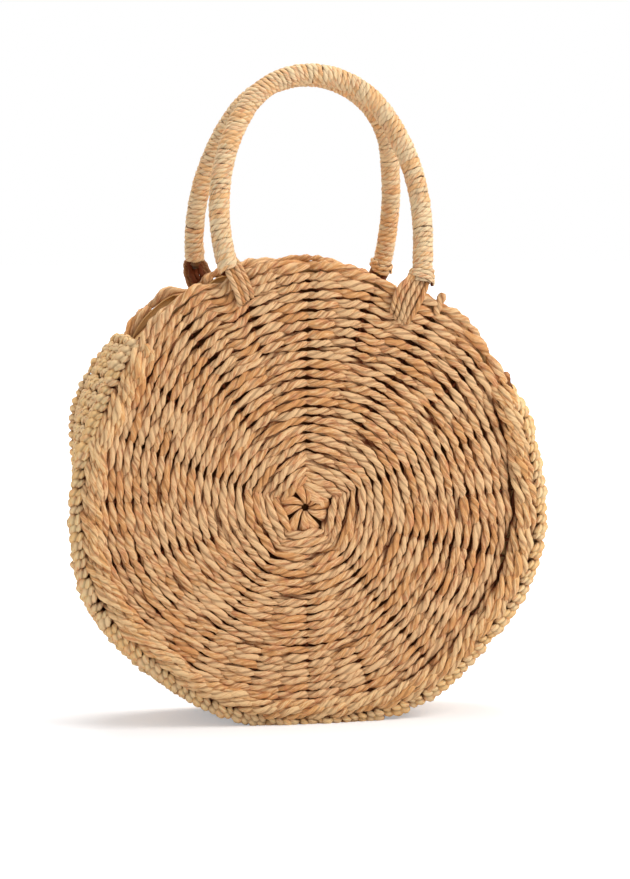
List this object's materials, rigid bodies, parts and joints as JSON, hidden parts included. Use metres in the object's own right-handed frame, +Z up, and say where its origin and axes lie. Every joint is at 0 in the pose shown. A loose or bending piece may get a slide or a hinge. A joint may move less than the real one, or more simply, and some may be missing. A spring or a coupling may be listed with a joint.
{
  "type": "round straw bag",
  "caption": "Round woven straw handbag: twined discs joined by a crocheted gusset, wound handles that swing outward, and a zipped lined mouth.",
  "frame": {"origin": "middle of the bag's floor outline, on the surface that it stands on", "axes": "+Z up through the disc and the handles, X along the discs, -Y towards the front disc"},
  "size_m": [0.334, 0.1066, 0.4589],
  "materials": {
    "woven_straw": "twisted paper straw, matt with a faint sheen",
    "crochet_straw": "crocheted paper straw, matt",
    "straw_rope": "two-ply straw rope, matt",
    "handle_yarn": "closely wound straw yarn, matt",
    "handle_rod": "plain extruded rod",
    "lining_cloth": "plain woven cotton",
    "zip_tape": "herringbone polyester tape",
    "zip_coil": "moulded coil",
    "zip_metal": "brushed light brass"
  },
  "bodies": {
    "bag": {"front_panel": "woven_straw", "back_panel": "woven_straw", "gusset": "crochet_straw", "front_seam_cord": "straw_rope", "back_seam_cord": "straw_rope", "front_rim_cord": "straw_rope", "back_rim_cord": "straw_rope", "front_left_anchor": "straw_rope", "front_right_anchor": "straw_rope", "back_left_anchor": "straw_rope", "back_right_anchor": "straw_rope", "front_lining": "lining_cloth", "back_lining": "lining_cloth", "gusset_lining": "lining_cloth", "front_mouth_band": "lining_cloth", "back_mouth_band": "lining_cloth", "front_zip_tape": "zip_tape", "back_zip_tape": "zip_tape", "front_zip_coil": "zip_coil", "back_zip_coil": "zip_coil", "zip_stop_left": "zip_metal", "zip_stop_right": "zip_metal"},
    "front_handle": {"front_handle_core": "handle_rod", "front_handle_wrap": "handle_yarn", "front_left_binding": "handle_yarn", "front_right_binding": "handle_yarn"},
    "back_handle": {"back_handle_core": "handle_rod", "back_handle_wrap": "handle_yarn", "back_left_binding": "handle_yarn", "back_right_binding": "handle_yarn"},
    "zip_slider": {"zip_slider": "zip_metal"},
    "zip_pull": {"zip_pull": "zip_metal"}
  },
  "joints": [
    {"name": "front_handle_swing", "type": "hinge", "parent": "bag", "child": "front_handle", "pos_m": [0.0104, -0.046, 0.31392], "axis": [0.9977, 0, -0.0681], "range_deg": [0, 110]},
    {"name": "back_handle_swing", "type": "hinge", "parent": "bag", "child": "back_handle", "pos_m": [0.0104, 0.046, 0.31392], "axis": [-0.9977, 0, 0.0681], "range_deg": [0, 110]},
    {"name": "zip_travel", "type": "hinge", "parent": "bag", "child": "zip_slider", "pos_m": [0, 0, 0.1615], "axis": [0, -1, 0], "range_deg": [0, 88.5]},
    {"name": "pull_flip", "type": "hinge", "parent": "zip_slider", "child": "zip_pull", "pos_m": [0.11914, 0, 0.25861], "axis": [0, 1, 0], "range_deg": [0, 165]}
  ]
}
